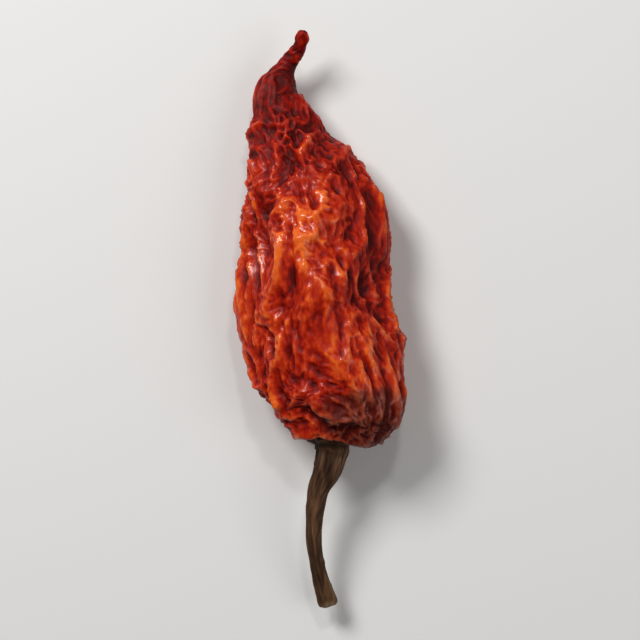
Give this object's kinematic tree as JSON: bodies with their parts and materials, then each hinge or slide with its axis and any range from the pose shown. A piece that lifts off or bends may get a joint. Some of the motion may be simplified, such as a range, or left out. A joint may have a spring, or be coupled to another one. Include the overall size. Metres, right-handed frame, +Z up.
{
  "type": "dried ghost pepper",
  "caption": "Whole dried ghost pepper with a deeply shrivelled red pod, a thin curved tail and a ribbed green-brown stalk, lying on its side.",
  "frame": {"origin": "middle of the bounding box's underside, on the surface that the pod lies on", "axes": "+Y from the stalk to the pod's tip, +X across the pod, +Z up from the surface it lies on"},
  "size_m": [0.023, 0.078, 0.0144],
  "materials": {
    "pod": "glossy, wrinkled",
    "stalk": "dry, matt"
  },
  "bodies": {
    "root": {"pod": "pod", "stalk": "stalk"}
  },
  "joints": []
}
